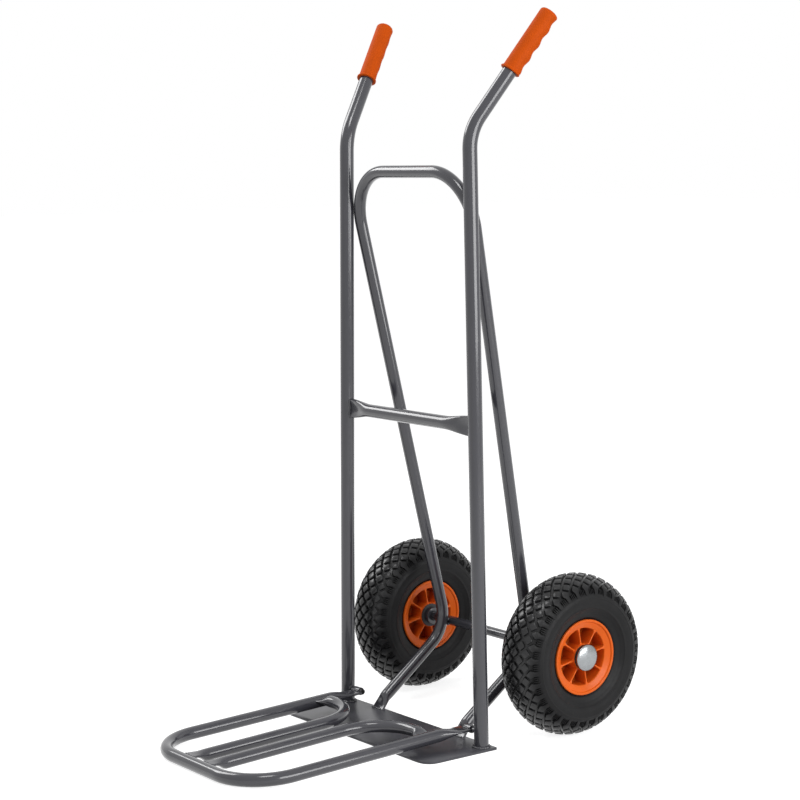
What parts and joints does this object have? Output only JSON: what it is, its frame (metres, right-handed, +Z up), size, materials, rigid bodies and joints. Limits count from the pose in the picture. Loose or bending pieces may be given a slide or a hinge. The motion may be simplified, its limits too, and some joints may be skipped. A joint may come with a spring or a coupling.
{
  "type": "hand truck",
  "caption": "Upright tubular hand truck with pneumatic wheels, a steel toe plate, a fold-up toe extension, a rear brace and angled handle grips.",
  "frame": {"origin": "middle of the toe plate's underside, in the plane of the two rails, on the floor that the truck stands on", "axes": "+Z up along the rails, -Y forwards along the toe, +Y back to the wheels, +X to the right as seen from the toe"},
  "size_m": [0.4848, 0.7191, 1.1408],
  "materials": {
    "frame_enamel": "glossy dark grey enamel",
    "grip_plastic": "satin orange vinyl",
    "rim_plastic": "glossy orange moulded plastic",
    "tyre_rubber": "matt black rubber",
    "tube_rubber": "matt black rubber",
    "zinc_plate": "bright zinc plate",
    "bush_nylon": "dark grey nylon",
    "black_plastic": "matt black plastic"
  },
  "bodies": {
    "frame": {"rail_left": "frame_enamel", "rail_right": "frame_enamel", "crossbar": "frame_enamel", "rear_brace": "frame_enamel", "toe_plate": "frame_enamel", "hinge_pin_left": "frame_enamel", "hinge_pin_right": "frame_enamel", "hinge_cap_left": "black_plastic", "hinge_cap_right": "black_plastic", "grip_left": "grip_plastic", "grip_right": "grip_plastic", "axle": "frame_enamel", "axle_collar_left": "frame_enamel", "axle_collar_right": "frame_enamel", "axle_washer_left": "zinc_plate", "axle_washer_right": "zinc_plate", "axle_cap_left": "zinc_plate", "axle_cap_right": "zinc_plate"},
    "wheel_left": {"tyre_left": "tyre_rubber", "inner_tube_left": "tube_rubber", "valve_cap_left": "black_plastic", "rim_left": "rim_plastic", "bush_outer_left": "bush_nylon", "bush_inner_left": "bush_nylon"},
    "wheel_right": {"tyre_right": "tyre_rubber", "inner_tube_right": "tube_rubber", "valve_cap_right": "black_plastic", "rim_right": "rim_plastic", "bush_outer_right": "bush_nylon", "bush_inner_right": "bush_nylon"},
    "toe_extension": {"extension_frame": "frame_enamel", "inner_bar_left": "frame_enamel", "inner_bar_right": "frame_enamel"}
  },
  "joints": [
    {"name": "wheel_left_spin", "type": "hinge", "parent": "frame", "child": "wheel_left", "pos_m": [-0.198, 0.169, 0.13], "axis": [1, 0, 0], "continuous": true},
    {"name": "wheel_right_spin", "type": "hinge", "parent": "frame", "child": "wheel_right", "pos_m": [0.198, 0.169, 0.13], "axis": [1, 0, 0], "continuous": true},
    {"name": "toe_extension_fold", "type": "hinge", "parent": "frame", "child": "toe_extension", "pos_m": [0, 0, 0.027], "axis": [-1, 0, 0], "range_deg": [0, 104]}
  ]
}
